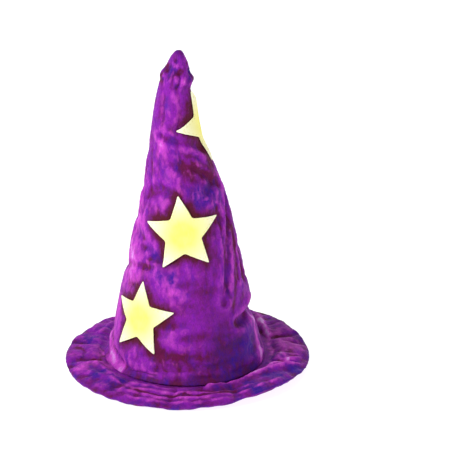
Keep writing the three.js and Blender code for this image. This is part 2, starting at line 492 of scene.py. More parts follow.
def crown_folds(azimuth, z):
    """How far the folds, dents, gathers and seam push the crown's face out."""
    out = np.zeros_like(z)
    for path, width, depth in CROWN_FOLDS:
        middle = sum(a for a, _ in path) / len(path)
        line = [crown_flat(a, h * MM, middle) for a, h in path]
        distance = far_from(line, *crown_flat(azimuth, z, middle))
        out += crease(distance, width * MM, depth * MM)
    for centre, height, reach, depth in CROWN_DENTS:
        across = crown_flat(azimuth, z, centre)[0]
        out -= depth * MM * bump(np.hypot(across, z - height * MM) / (reach * MM))
    turn = np.radians(azimuth)
    gathers = 0.6 + 0.4 * np.cos(11 * turn + 1.4 * np.sin(2 * turn))
    up = z - RUFFLE_HEIGHT + RUFFLE_TILT * np.sin(turn)
    out += RUFFLE * gathers * bump(up / (5 * MM))
    out -= 1.2 * MM * (1 - gathers) * bump((z - 381 * MM) / (6 * MM))
    out -= SEAM_DEPTH * bump(crown_flat(azimuth, z, SEAM_AZIMUTH)[0] / SEAM_WIDTH)
    return out


def in_stretch(azimuth, z, centre, height, wide, tall, amount):
    """amount in the middle of a stretch of the crown, and less away from it."""
    return amount * bump(np.hypot(angle_from(azimuth, centre) / wide, (z / MM - height) / tall))


def build_crown():
    """The crown's velvet: wrinkled by simulation, with its folds pressed in, a foot that turns out
    over the brim, and a gathered end."""
    plain = crown_points(grid_azimuth, grid_z).reshape(-1, 3)
    faces = grid_faces(CROWN_ROWS, CROWN_COLUMNS)
    hold = 0.25 * smooth((grid_z - 345 * MM) / (30 * MM))  # the tip is gathered over its wadding
    hold[0] = hold[-1] = 1.0
    hold[1] = 0.6
    moved = wrinkles(
        plain, faces, hold, most=7 * MM, broad=(22, 26), seed=3,
        grow=0.055, frames=25, bending=1.0, pressure=0.4, gravity=0.1,
    )
    under = np.zeros_like(grid_z)  # a star keeps the velvet under it flatter
    for name in STARS:
        x, y = on_star(name, grid_azimuth, grid_z)
        under = np.maximum(under, 1 - smooth((np.hypot(x, y) / MM - 30) / 18))
    taut = np.max([in_stretch(grid_azimuth, grid_z, *row) for row in CROWN_TAUT], axis=0)
    moved = moved * ((1 - 0.6 * under) * (1 - taut))[..., None]
    outward = normals_of(plain, faces).reshape(moved.shape)
    folds = crown_folds(grid_azimuth, grid_z) * (1 - 0.5 * under)
    moved = moved + outward * folds[..., None]
    # Near its foot the velvet lies close on the foam, and the sweatband is just inside that.
    room = (0.8 + 8 * smooth((grid_z / MM - 40) / 35)) * MM
    out = (moved * outward).sum(axis=2)
    held = np.maximum(out, -room)
    moved += outward * (held - out)[..., None]
    relief = np.pad(held - near(held, 7, 8, soft_mean), ((2, 2), (0, 0)))
    above = (grid_z - CROWN_FOOT) / MM
    (flare, flare_height), (lip, lip_height) = FLARES
    turned_out = flare * np.exp(-above / flare_height) + lip * np.exp(-above / lip_height)
    turned_out *= 1 - FLARE_LOSS * bump(angle_from(grid_azimuth, FLARE_LOSS_AZIMUTH) / 45)
    moved += outward * turned_out[..., None] * (MM, MM, 0)
    moved[..., 2] -= TUCK * np.exp((CROWN_FOOT - grid_z) / (3 * MM))
    rows = plain.reshape(moved.shape) + moved
    # The foot's edge is turned under, and the end is closed.
    foot, top = rows[0], rows[-1]
    middle = np.array((crown_middle(CROWN_FOOT), 0, CROWN_FOOT))
    hem = [middle + (foot - middle) * (share, share, 1) for share in (0.955, 0.985)]
    hem[0][:, 2] += 0.3 * MM
    end = top.mean(axis=0)
    cap = [end + (top - end) * share + (0, 0, rise * MM) for share, rise in ((0.75, 0.9), (0.4, 1.5))]
    marks = np.append(relief, 0)[:, None] * (1, 0, 0)
    made = capped("crown", [*hem, *rows, *cap], end + (0, 0, 1.7 * MM), relief=marks)
    made = subdivided(made)
    below_top = CROWN_TOP - vertices_of(made)[:, 2]
    crumple(made, depth=0.9 * MM, seed=7, share=smooth(below_top / (9 * MM)))
    return made


crown = build_crown()
crown_relief = take_mark(crown, "relief")[:, 0]


def crown_place(p):
    """Azimuth and height of points near the crown."""
    return np.degrees(np.arctan2(p[:, 0] - crown_middle(p[:, 2]), -p[:, 1])), p[:, 2]


def crown_excess():
    """How far the finished velvet is outside the plain crown, at each point of the grid."""
    polygons = [tuple(face.vertices) for face in crown.data.polygons]
    tree = BVHTree.FromPolygons([v.co for v in crown.data.vertices], polygons)
    found = np.zeros_like(grid_z)
    start = 0.2  # rays come in from well outside the crown
    for index in np.ndindex(grid_z.shape):
        z, turn = grid_z[index], math.radians(grid_azimuth[index])
        away = Vector((math.sin(turn), -math.cos(turn), 0))
        axis = Vector((crown_middle(z), 0, z))
        distance = tree.ray_cast(axis + start * away, -away)[3]
        if distance is not None:
            found[index] = start - distance - crown_radius(z)
    return found


excess = crown_excess()
outer_excess = near(near(excess, 2, 2, np.max), 2, 2, soft_mean)
inner_excess = near(near(excess, 3, 2, np.min), 3, 2, soft_mean)


def sampled(grid, azimuth, z):
    """Values between the points of a grid over the crown."""
    row = np.clip((z - crown_z[0]) / (crown_z[1] - crown_z[0]), 0, CROWN_ROWS - 1.001)
    column = (np.asarray(azimuth) % 360) * CROWN_COLUMNS / 360
    i, j = row.astype(int), column.astype(int) % CROWN_COLUMNS
    up, on = row - i, column - np.floor(column)
    k = (j + 1) % CROWN_COLUMNS
    low = grid[i, j] * (1 - on) + grid[i, k] * on
    high = grid[i + 1, j] * (1 - on) + grid[i + 1, k] * on
    return low * (1 - up) + high * up


def over_crown(azimuth, z, lift):
    """Points that far outside the finished velvet, over its small dents."""
    return crown_points(azimuth, z, -(sampled(outer_excess, azimuth, z) + lift))


def inside_crown(azimuth, z, depth):
    """Points that far inside the finished velvet, clear of its folds."""
    return crown_points(azimuth, z, depth - sampled(inner_excess, azimuth, z))


# -------- the brim's velvet
BRIM_COLUMNS = 256
BRIM_PROFILE = [  # radius and height in mm from the hole's edge under the brim, round to the top
    (90.8, 6.5), (90.7, 1.2), (91.6, 0.4), (146, 0.6), (152, 2.2), (155, 5.0),
    (152, 7.2), (146, 8.8), (90.8, 9.2),
]
BRIM_STEPS = [2, 1, 22, 2, 2, 2, 2, 22]  # rows from each of those points to the next
EDGE_ROW = sum(BRIM_STEPS[:5])
# The ridge from the crown's foot to the edge at the front right: azimuth and radius in mm.
FRONT_RIDGE = [(12, 115), (33, 112), (46, 113), (57, 121), (64, 131), (71, 144)]
# Ridges and creases on top: points of azimuth and radius in mm, then width and height in mm.
BRIM_FOLDS = [
    (FRONT_RIDGE, 4.5, 6.5),
    ([(60, 109), (67, 117), (75, 131), (80, 143)], 3.5, 3.5),
    ([(-48, 126), (-30, 129), (-8, 127), (14, 131), (34, 134)], 2.8, 2.6),
    ([(-40, 137), (-16, 139), (6, 138), (30, 143), (48, 147)], 2.6, 2.2),
    ([(-70, 119), (-52, 119), (-34, 121), (-14, 118)], 3, 2.2),
    ([(88, 104), (108, 108), (126, 120), (138, 137)], 4.5, 4),
    ([(-30, 147), (-14, 145), (2, 148), (18, 146)], 2.2, 1.6),
    ([(-96, 140), (-88, 129), (-82, 134), (-76, 116)], 3.2, -1.5),
    ([(-62, 134), (-48, 126), (-36, 132)], 4, 2.6),
    ([(150, 132), (170, 126), (190, 134)], 4.5, 3),
    ([(-150, 118), (-132, 128), (-114, 124)], 4, 2.6),
]
ROLL = 1.6 * MM  # how far the padding stands up round the crown's foot
ROLL_RADIUS = 119 * MM


def brim_place(azimuth, radius):
    """Places on the brim laid flat, in metres, from azimuth in degrees and radius."""
    turn = np.radians(azimuth)
    return radius * np.sin(turn), -radius * np.cos(turn)


def brim_folds(x, y):
    out = np.zeros_like(x)
    for path, width, height in BRIM_FOLDS:
        line = [brim_place(a, r * MM) for a, r in path]
        distance = far_from(line, x, y) / (width * MM)
        out += height * MM * (bump(distance) - 0.25 * bump((distance - 2.4) / 1.2))
    return out


def build_brim():
    """A grid of points over the brim's two faces, from the hole's edge underneath round to the
    top, and how far each stands out of the broad shape."""
    profile = [BRIM_PROFILE[0]]
    for (ra, za), (rb, zb), steps in zip(BRIM_PROFILE, BRIM_PROFILE[1:], BRIM_STEPS):
        shares = np.arange(1, steps + 1) / steps
        profile += [(ra + (rb - ra) * s, za + (zb - za) * s) for s in shares]
    radius, height = np.array(profile).T[:, :, None] * MM
    azimuth = np.arange(BRIM_COLUMNS)[None, :] * 360 / BRIM_COLUMNS
    x, y = brim_place(azimuth, radius)
    plain = np.stack([x, y, height + brim_curl(azimuth, radius)], axis=-1)
    faces = grid_faces(len(radius), BRIM_COLUMNS)
    hold = np.zeros(x.shape)
    hold[:4] = hold[-1] = 1.0
    hold[EDGE_ROW] = 0.7
    moved = wrinkles(
        plain.reshape(-1, 3), faces, hold, most=6 * MM, broad=(26, 26), seed=5,
        grow=0.07, frames=22, bending=0.35, pressure=0.8,
    )
    rows = np.arange(len(radius))[:, None]
    clear = smooth((radius - 107 * MM) / (8 * MM))  # flat where the crown stands on it
    edge = smooth(1 - np.abs(rows - EDGE_ROW) / 5)
    front = 0.45 * bump(angle_from(azimuth, -4) / 50)  # long creases take the place of wrinkles
    share = np.where(rows < EDGE_ROW, 0.3 + 0.3 * edge, 1 - 0.45 * edge - front) * clear
    moved = moved * share[..., None]
    on_top = rows >= EDGE_ROW + 2
    folds = brim_folds(x, y) * smooth((BRIM_RADIUS - radius) / (9 * MM)) * clear
    folds += ROLL * bump((radius - ROLL_RADIUS) / (7 * MM)) * clear
    moved[..., 2] += np.where(on_top, folds, 0)
    low = np.where(rows > EDGE_ROW, -2.4, -0.7) * MM
    high = np.where(rows > EDGE_ROW, 9.0, 0.8) * MM
    moved[..., 2] = np.clip(moved[..., 2], low, high)
    seam = bump((rows - EDGE_ROW) / 0.8) * 0.9 * MM  # the two faces are sewn together at the edge
    moved[..., :2] -= (seam / radius)[..., None] * plain[..., :2]
    relief = moved[..., 2:] - near(moved[..., 2:], 4, 6, soft_mean)
    made = plain + moved
    made[..., 2] = np.maximum(made[..., 2], 0.1 * MM)  # it stands on the floor
    return made, relief * (1, 0, 0)


def brim_face(name, rows, depth, seed):
    """One face of the brim, crumpled to that depth. Its outer edge stays as it is, to meet the
    other face's."""
    relief = brim_relief[rows].reshape(-1, 3)
    faces = grid_faces(len(brim[rows]), BRIM_COLUMNS)
    made = subdivided(make_mesh(name, brim[rows].reshape(-1, 3), faces, relief=relief))
    radius = np.linalg.norm(vertices_of(made)[:, :2], axis=1)
    share = smooth((BRIM_RADIUS - 1.5 * MM - radius) / (4 * MM))
    share *= smooth((radius - 106 * MM) / (6 * MM))
    crumple(made, depth, seed, share)
    return made


brim, brim_relief = build_brim()
brim_underside = brim_face("brim_underside", slice(0, EDGE_ROW + 1), 0.3 * MM, 8)
brim_top = brim_face("brim_top", slice(EDGE_ROW, None), 0.9 * MM, 9)

# -------- colour of the crushed velvet, with painted light and shade
# Patches of painted light and shade, and of pile that lies another way: place, reach in mm, then how
# maroon, blue and light.
CROWN_PATCHES = [
    # the slump at two thirds of the height, darkened with painted shade
    (42, 258, 18, 0.65, -0.1, 0), (62, 246, 12, 0.7, 0, -0.3), (14, 262, 13, 0.5, -0.4, -0.1),
    (24, 234, 15, 0, 0.9, 0), (48, 226, 12, 0, 0.7, 0.1), (-12, 262, 12, 0, 0.4, 0.3),
    # the left side, with painted highlight
    (-40, 285, 12, 0.1, -0.2, 0.6), (-30, 220, 12, 0.2, 0, 0.3), (-70, 190, 26, 0, -0.3, 0.7),
    (-76, 138, 26, 0.1, -0.3, 1), (-66, 150, 12, 0.5, -0.2, 0.5), (-62, 118, 12, 0.6, -0.3, 0.3),
    (-88, 60, 22, 0.3, -0.3, 0.6), (-72, 22, 16, 0.1, -0.4, 0.7), (-52, 14, 12, 0.1, -0.3, 0.6),
    # between the two lower stars
    (-20, 138, 18, 0, 0.7, 0.3), (-8, 116, 12, 0, 0.3, 0.6), (-32, 160, 10, 0, 0.8, 0),
    # the smooth stretch at the front right, down to the foot, in painted shade
    (60, 45, 22, 0.2, 0.85, -0.6), (72, 26, 18, 0.2, 0.55, -0.5), (36, 30, 24, 1.1, 0.4, -0.8),
    (14, 20, 20, 0.7, 0.2, -0.5), (30, 60, 26, 0.45, 0.2, -0.5), (18, 100, 24, 0.25, 0.1, -0.3),
    (28, 150, 16, 0.3, 0.1, -0.2),
    # the gathers of the tip, with painted shade in their folds and painted highlight on their crests
    (-54, 378, 4, 1.2, 0.3, -0.9), (72, 374, 4, 1.2, 0.3, -0.9), (-62, 367, 4, 1, 0.2, -0.6),
    (29, 366, 4, -0.2, 0, 0.7), (-14, 384, 4, -0.2, 0, 0.6), (0, 398, 9, 0.8, 0.5, -0.9),
    (-78, 377, 4, 0.9, 0.5, -1), (86, 373, 4, 0.9, 0.5, -1), (-84, 368, 4, 0.8, 0.4, -0.9),
    (88, 362, 5, 0.8, 0.4, -0.9), (84, 366, 5, 0.9, 0, -0.9), (-74, 367, 4, 0.8, 0, -0.6),
    (6, 374, 4, 0.6, 0, -0.5),
    # single spots, mostly lighter on the left and darker on the right: painted light and shade
    (-80, 86, 26, 0, -0.3, 0.6), (50, 150, 16, 0.4, 0.1, -0.1), (80, 170, 22, 0.7, 0, -0.1),
    (84, 110, 18, 0.8, 0, -0.3), (-24, 44, 12, 0.7, 0, 0), (-4, 40, 10, 0.5, 0, 0.2),
    (0, 372, 8, 0, 0, 0.3), (68, 330, 14, 0.7, 0, -0.2),
    # the back
    (160, 60, 26, 0.2, 0.5, 0), (-160, 170, 26, 0.5, 0, 0.2), (120, 180, 24, 0.1, 0.5, 0.1),
    (-120, 240, 22, 0, 0.4, 0.3), (170, 300, 20, 0.5, 0, 0.2),
]
# painted shade in each dimple of the tip
CROWN_PATCHES += [(azimuth, height, 3, 0.8, 0.2, -0.7) for azimuth, height in TIP_DIMPLES]
# Patches on the brim's top, of painted light and shade and of pile that lies another way: place, reach
# in mm, then how maroon, blue and light.
BRIM_PATCHES = [
    # the left, with painted highlight next to the crown's foot
    (-78, 122, 14, 0.4, 0, 0.1), (-70, 140, 12, 0.1, 0, 0.7), (-58, 130, 13, 0, 1.1, -0.3),
    (-42, 122, 14, 0, 1, -0.2), (-105, 126, 16, 0, 0.8, 0), (-66, 102, 9, 0, 0, 1),
    (-88, 104, 8, 0, 0, 1),
    # the front and the front right, with painted shade beyond the ridge
    (-24, 112, 12, 0, 0.2, 0.4), (-8, 144, 14, 0.5, 0, 0.1), (4, 116, 14, 0.5, 0, -0.3),
    (22, 126, 14, 0.8, 0, -0.4), (34, 142, 14, 0, 0.8, -0.4), (52, 136, 14, 0, 0.9, -0.5),
    (66, 146, 10, 0, 0.7, -0.5), (36, 112, 10, 0.6, 0, 0.2), (72, 120, 9, 0.2, 0, 0.6),
    # the right, with painted shade at its edge
    (96, 130, 16, 0.6, -0.4, 0.9), (84, 128, 12, 0.5, -0.3, 0.6), (112, 118, 14, 0.5, -0.2, 0.4),
    (64, 152, 9, 0.5, 0.6, -0.7), (84, 150, 8, 0.6, 0.5, -0.8), (104, 149, 8, 0.8, 0.5, -0.8),
    (124, 148, 9, 0.8, 0.4, -0.8), (128, 120, 8, 0, 0.3, 1),
    # the back of the brim
    (160, 130, 20, 0, 0.6, 0.1), (-150, 128, 20, 0.5, 0, 0.2),
]
# Lines of painted highlight and shade along folds, creases and the crown's foot, and of pile that lies
# another way: points, width in mm, how maroon, blue and light.
CROWN_STREAKS = [
    # a painted highlight down a fold on the right, then painted shade beside it
    ([(82, 222), (62, 186), (51, 150), (43, 118), (36, 98)], 2.6, -0.2, 0, 0.7),
    ([(92, 215), (74, 180), (61, 145), (53, 110), (47, 84)], 3.4, 0.7, 0, -0.4),
    ([(-52, 13), (-66, 17), (-84, 30), (-96, 52)], 6, 0.1, -0.4, 0.8),
    ([(30, 269), (52, 264), (74, 262)], 3, 0.8, 0, -0.3),
    ([(-30, 50), (-14, 40), (4, 42), (16, 38)], 3.5, 0.7, 0, 0),
    ([(-84, 250), (-76, 205), (-80, 160)], 4, 0, -0.2, 0.5),
    ([(-40, 150), (-50, 120), (-58, 98)], 3, 0.5, 0, 0.2),
    (LONG_CREASE, 2, 0.55, 0.15, -0.2),
    ([(58, 216), (60, 184), (57, 150), (53, 124)], 1.8, -0.2, 0, 0.5),
    (SIDE_CREASE, 2, 0.6, 0.1, -0.3),
    ([(-23, 346), (-30, 318), (-34, 284)], 4, 0, 0.3, 0.3),
    ([(8, 350), (12, 330), (4, 300)], 3, 0, 0.2, 0.4),
    ([(36, 340), (40, 322)], 3, 0.6, 0, 0),
    # a painted sheen along the right side of the foot
    ([(82, 56), (76, 38), (71, 24), (68, 12)], 9, -0.7, -0.9, 1.7),
    # painted shade along the front of the foot, where it meets the brim
    ([(-44, 12), (0, 12), (56, 12)], 7, 0.6, 0.3, -0.8),
]
# Lines on the brim's top: painted highlights along its ridges, painted shade in its creases and beyond
# the front ridge, and pile that lies another way: points, width in mm, how maroon, blue and light.
BRIM_STREAKS = [
    ([(-96, 140), (-88, 129), (-82, 134), (-76, 116), (-84, 107)], 3.5, 0.8, 0, -0.1),
    ([(-48, 127), (-30, 130), (-8, 128), (14, 132), (34, 135)], 2.2, 0, -0.2, 0.5),
    ([(-40, 138), (-16, 140), (6, 139), (30, 144), (48, 148)], 2.2, 0, -0.2, 0.5),
    ([(-44, 132), (-20, 134), (4, 133), (24, 137)], 2.4, 0.8, 0, -0.3),
    ([(-30, 148), (-12, 147), (6, 149), (24, 151)], 2.4, 0, -0.2, 0.5),
    (FRONT_RIDGE, 2.6, 0, -0.5, 0.7),
    ([(60, 109), (67, 117), (75, 131)], 2.2, 0, -0.5, 0.6),
    ([(20, 127), (40, 130), (56, 139), (68, 150)], 7, 0.4, 0.4, -0.7),
    ([(86, 108), (79, 122), (70, 137)], 2.6, 0, 0, 0.6),
    ([(84, 106), (104, 108), (124, 119), (138, 136)], 3.4, 0, 0, 0.9),
    ([(-60, 108), (-76, 112), (-92, 110)], 3, 0, 0, 0.6),
]
UPRIGHT = (0.8, 1.7)  # the crown's mottling is drawn out upwards
HALO = 8 * MM  # how far round a star the pile is pressed down and a painted shade is laid
RIM = 4 * MM  # how far in from the brim's turned edge a painted shade darkens it


def cloud(places, size, octaves, seed):
    """Noise over flat places."""
    return rough(np.column_stack([*places, np.zeros(len(places[0]))]), size, octaves, seed)


def tone_with_painted_light(places, patches, streaks, flat, seed, stretch=(1.0, 1.0), plain=0.0):
    """Colour of the pile at flat places, with the painted light and shade of the patches and streaks:
    how maroon, how blue and how light, 0 to 1 each. flat puts the tables' points on the same flat
    cloth. The mottling is drawn out by stretch, and plain is how far it is even instead, 0 to 1."""
    drawn = (places[0] / stretch[0], places[1] / stretch[1])
    tone = np.stack(
        [
            0.06 + 0.65 * cloud(drawn, 13 * MM, 3, seed),
            -0.04 + 0.7 * cloud(drawn, 12 * MM, 3, seed + 1),
            -0.12 + 0.65 * cloud(drawn, 8 * MM, 3, seed + 2),
        ],
        axis=1,
    )
    tone *= 1 - np.reshape(plain, (-1, 1))
    for azimuth, along, reach, *amount in patches:
        x, y = flat(azimuth, along * MM)
        share = bump(np.hypot(places[0] - x, places[1] - y) / (reach * MM))
        tone += share[:, None] * amount
    wavy = [places[k] + 3 * MM * cloud(places, 14 * MM, 2, seed + 3 + k) for k in (0, 1)]
    for path, width, *amount in streaks:
        line = [flat(azimuth, along * MM) for azimuth, along in path]
        tone += bump(far_from(line, *wavy) / (width * MM))[:, None] * amount
    return tone


def ridge_highlight_and_hollow_shade(relief):
    """Painted highlight on ridges and painted shade in the hollows between them."""
    up = np.tanh(relief / (1.6 * MM))[:, None]
    return np.maximum(up, 0) * (-0.2, 0.0, 0.6) + np.minimum(up, 0) * (-0.7, -0.1, 0.5)


def colour_crown():
    azimuth, z = crown_place(vertices_of(crown))
    places = crown_flat(azimuth, z)
    tone = tone_with_painted_light(
        places, CROWN_PATCHES, CROWN_STREAKS, crown_flat, seed=11,
        stretch=UPRIGHT, plain=in_stretch(azimuth, z, *CROWN_EVEN),
    )
    beside = (places[0] + 0.7, z)
    other = tone_with_painted_light(beside, [], [], crown_flat, seed=17, stretch=UPRIGHT)
    joined = smooth((np.abs(angle_from(azimuth, 0)) - 150) / 30)[:, None]  # it meets at the back
    # the relief adds painted highlight on the crown's ridges and painted shade in its hollows
    tone = tone * (1 - joined) + other * joined + ridge_highlight_and_hollow_shade(crown_relief)
    outline = [*STAR_OUTLINE[::2], STAR_OUTLINE[0]]
    pressed_and_shaded = np.zeros(len(z))
    for name in STARS:
        x, y = on_star(name, azimuth, z)
        close = np.hypot(x, y) < STAR_RADIUS + 3 * HALO
        halo = np.zeros(len(z))
        halo[close] = bump(far_from(outline, x[close], y[close]) / HALO)
        halo *= 1.9 - 1.45 * np.hypot(x, y) / STAR_RADIUS  # deepest between the arms
        pressed_and_shaded = np.maximum(pressed_and_shaded, halo)
    # painted shade round each star on pile pressed down there, deepest between the arms: more maroon,
    # less blue, darker
    tone += pressed_and_shaded[:, None] * (1.0, -1.0, -0.8)
    return tone, pressed_and_shaded[:, None] * (1, 0, 0)


crown_tone, crown_pressed_and_shaded = colour_crown()
put_mark(crown, "tone", crown_tone)
put_mark(crown, "pressed_and_shaded", crown_pressed_and_shaded)
put_mark(crown, "cloth", vertices_of(crown))
for piece, patches, streaks, seed in (
    (brim_top, BRIM_PATCHES, BRIM_STREAKS, 23), (brim_underside, [], [], 29),
):
    spots = vertices_of(piece)
    tone = tone_with_painted_light(spots.T[:2], patches, streaks, brim_place, seed)
    inset = BRIM_RADIUS - np.hypot(spots[:, 0], spots[:, 1])
    # painted shade along the brim's turned edge
    tone += bump(inset / RIM)[:, None] * (0.4, 0.4, -0.8)
    # the relief adds painted highlight on the brim's ridges and painted shade in its hollows
    put_mark(piece, "tone", tone + ridge_highlight_and_hollow_shade(take_mark(piece, "relief")[:, 0]))
    put_mark(piece, "cloth", spots)


# -------- pieces inside the hat
FOAM_TOP = 339 * MM
LINING_TOP = 337.5 * MM
WALL_COLUMNS = 96


def ring(depth, z):
    """One ring of points inside the crown."""
    azimuth = np.arange(WALL_COLUMNS) * 360 / WALL_COLUMNS
    return inside_crown(azimuth, np.full(WALL_COLUMNS, z), depth)


def build_foam_cone():
    """The foam sheet inside the velvet, one closed wall."""
    outer, inner = 1.0 * MM, 3.4 * MM
    heights = np.linspace(CROWN_FOOT + 0.6 * MM, FOAM_TOP, 60)
    rings = [ring(outer, z) for z in heights] + [ring(inner, z) for z in heights[::-1]]
    wall = np.concatenate(rings)
    wall += rough(wall, 6 * MM, 2, 41)[:, None] * 0.12 * MM
    return make_mesh("foam_cone", wall, grid_faces(len(rings), WALL_COLUMNS, looped=True))


def build_lining():
    """The satin inside the foam: gathered at its top, with soft upright folds below."""
    azimuth = np.radians(np.arange(WALL_COLUMNS) * 360 / WALL_COLUMNS)
    rings = []
    for z in np.linspace(CROWN_FOOT + 1.2 * MM, LINING_TOP - 3 * MM, 80):
        share = (z - CROWN_FOOT) / (LINING_TOP - CROWN_FOOT)
        ripple = np.cos(9 * azimuth + 1.5 * np.sin(3 * azimuth) + 2 * share)
        loose = (0.35 + 1.1 * math.sin(math.pi * min(1, share * 1.1))) * MM
        seam = 0.5 * MM * bump((azimuth - math.pi) / 0.03)
        rings.append(ring(4.2 * MM + loose * (0.5 + 0.5 * ripple) + seam, z))
    top = rings[-1]
    middle = top.mean(axis=0)
    gathers = 1 + 0.06 * np.cos(14 * azimuth)
    for share, rise in ((0.82, 0.9), (0.55, 1.5), (0.25, 1.0)):
        lift = np.array((0, 0, rise * MM))
        rings.append(middle + (top - middle) * share * gathers[:, None] + lift)
    made = capped("lining", rings, middle + (0, 0, 0.2 * MM))
    made.data.flip_normals()  # it is seen from inside the hat
    return subdivided(made)


def build_wadding():
    """The loose plug in the tip."""
    low, high = 368 * MM, 388 * MM
    rings = []
    for share in np.linspace(0, 1, 14):
        z = low + (high - low) * (share - 0.04 * math.sin(TAU * share))
        pull = 0.9 * MM + 5 * MM * (1 - math.sqrt(max(0, 1 - (2 * share - 1) ** 4)))
        rings.append(ring(1.6 * MM + pull, z))
    body = np.array(rings)
    middle = body.mean(axis=1, keepdims=True)
    lumps = 0.93 + 0.07 * rough(body.reshape(-1, 3), 5 * MM, 3, 43).reshape(*body.shape[:2], 1)
    body = middle + (body - middle) * np.minimum(lumps, 1)
    top, bottom = body[-1].mean(axis=0) + (0, 0, MM), body[0].mean(axis=0) - (0, 0, MM)
    return capped("wadding", list(body), top, bottom)


def build_foam_ring():
    """The foam inside the brim, between its two velvet faces."""
    step = 2
    top_z = near(near(brim[..., 2], 3, 3, np.min), 3, 3, soft_mean)
    over, under = [], []
    for k in reversed(range(EDGE_ROW + 5, len(brim) - 1, step)):
        x, y, _ = brim[k, ::step].T
        curl = brim_curl(np.degrees(np.arctan2(x, -y)), np.hypot(x, y))
        over.append(np.column_stack([x, y, top_z[k, ::step] - 0.9 * MM]))
        under.append(np.column_stack([x, y, curl + 1.9 * MM]))
    rim = (over[-1] + under[-1]) / 2
    rim[:, :2] *= 1 + 1.2 * MM / np.hypot(rim[:, 0], rim[:, 1])[:, None]
    loop = [*under, rim, *over[::-1]]
    return make_mesh("foam_ring", np.concatenate(loop), grid_faces(len(loop), len(rim), looped=True))


foam_cone = build_foam_cone()
lining = build_lining()
wadding = build_wadding()
foam_ring = build_foam_ring()

# -------- sweatband and label
BAND_COLUMNS = 192
BAND_THICKNESS = 1.0 * MM
BAND_STITCHES = 170


def band_profile():
    """Heights and radii of the sweatband's inside face, from the bottom up."""
    found = {}
    for x, y, z in vertices_of(nodes["sweatband"]):
        away = math.hypot(x - crown_middle(z), y)
        key = round(z, 4)
        found[key] = min(found.get(key, 1.0), away)
    heights, radii = np.array(sorted(found.items())).T
    return heights, radii + 0.1 * MM


BAND_HEIGHTS, BAND_RADII = band_profile()


def build_sweatband():
    low, high = BAND_HEIGHTS[0], BAND_HEIGHTS[-1]
    z = np.linspace(low, high, 13)
    radius = np.interp(z, BAND_HEIGHTS, BAND_RADII)
    half = BAND_THICKNESS / 2
    under = [(radius[0] + half, low - 0.3 * MM)]
    over = [(radius[-1] + half, high + 0.3 * MM)]
    loop = [*under, *zip(radius + BAND_THICKNESS, z), *over, *zip(radius[::-1], z[::-1])]
    turn = np.arange(BAND_COLUMNS) * TAU / BAND_COLUMNS
    rings, cloth = [], []
    for r, h in loop:
        wave = 0.25 * MM * np.sin(7 * turn + 1.3 * np.sin(2 * turn)) * smooth((h - low) / (high - low))
        rings.append(around(turn, r + wave, h, crown_middle(h)))
        cloth.append(np.column_stack([turn * radius[0], h + 0 * turn, 0 * turn]))
    faces = grid_faces(len(rings), BAND_COLUMNS, looped=True)
    return make_mesh("sweatband_ribbon", np.concatenate(rings), faces, cloth=np.concatenate(cloth))


def build_band_stitches():
    """A row of machine stitches near the sweatband's lower edge."""
    z = BAND_HEIGHTS[0] + 2.6 * MM
    radius = np.interp(z, BAND_HEIGHTS, BAND_RADII)
    lift = np.array([-0.25, 0.18, 0.25, 0.18, -0.25]) * MM
    pitch = TAU / BAND_STITCHES
    turns = [(k + np.linspace(-0.32, 0.32, 5)) * pitch for k in range(BAND_STITCHES)]
    paths = [around(turn, radius - lift, z, crown_middle(z)) for turn in turns]
    return tubes("sweatband_stitches", paths, 0.22 * MM)


def build_label():
    """A blank woven tape folded in two, hanging from the top of the sweatband at the back."""
    low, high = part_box("size_label")
    face = (low.y + high.y) / 2
    bottom, top = low.z + 1.5 * MM, high.z - 3 * MM
    drop = np.linspace(0, 1, 12)
    heights = top + (bottom - top) * drop
    back = np.column_stack([face + (2 - np.sin(math.pi * drop)) * MM, heights])
    fold = [(face + y * MM, bottom - 0.9 * MM) for y in (1.2, 0.4)]
    front = np.column_stack([face + (1.5 * (1 - drop) ** 3 - 0.3) * MM, heights])[::-1]
    path = np.concatenate([back, fold, front])
    across = np.linspace(low.x, high.x, 11)
    curve = 0.5 * MM * bump((across - across.mean()) / (9 * MM))
    points = [(x, y - c, h) for y, h in path for x, c in zip(across, curve)]
    cloth = [(x, k * 2.5 * MM, 0) for k in range(len(path)) for x in across]
    faces = grid_faces(len(path), len(across), closed=False)
    label = make_mesh("label_tape", points, faces, cloth=cloth)
    thick = label.modifiers.new("thick", "SOLIDIFY")
    thick.thickness = 0.35 * MM
    thick.offset = 0
    return apply_modifiers(label)


def build_label_stitches():
    low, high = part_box("size_label")
    y = (low.y + high.y) / 2 + 0.9 * MM + np.array([0.3, -0.3, -0.42, -0.3, 0.3]) * MM
    z = np.full(5, high.z - 6 * MM)
    along = np.linspace(-0.9, 0.9, 5) * MM
    middles = np.linspace(low.x + 2 * MM, high.x - 2 * MM, 9)
    return tubes("label_stitches", [np.column_stack([x + along, y, z]) for x in middles], 0.2 * MM)


sweatband = build_sweatband()
band_stitches = build_band_stitches()
label = build_label()
label_stitches = build_label_stitches()

# -------- felt stars
FELT = 1.6 * MM
STAR_GAP = 0.15 * MM
STITCH_INSET = 0.874  # share of the outline where the stitches run
STITCH_PITCH = 5.2 * MM
STAR_RINGS = [  # share of the outline and share of the felt's thickness, from the middle outwards
    (0.12, 1.0), (0.25, 1.0), (0.38, 1.0), (0.5, 1.0), (0.61, 1.0), (0.72, 1.0), (0.82, 0.99),
    (0.874, 0.86), (0.92, 0.97), (0.965, 0.93), (0.99, 0.72), (1.0, 0.42), (0.995, 0.12),
    (0.975, 0.0), (0.8, 0.0), (0.55, 0.0), (0.25, 0.0),
]


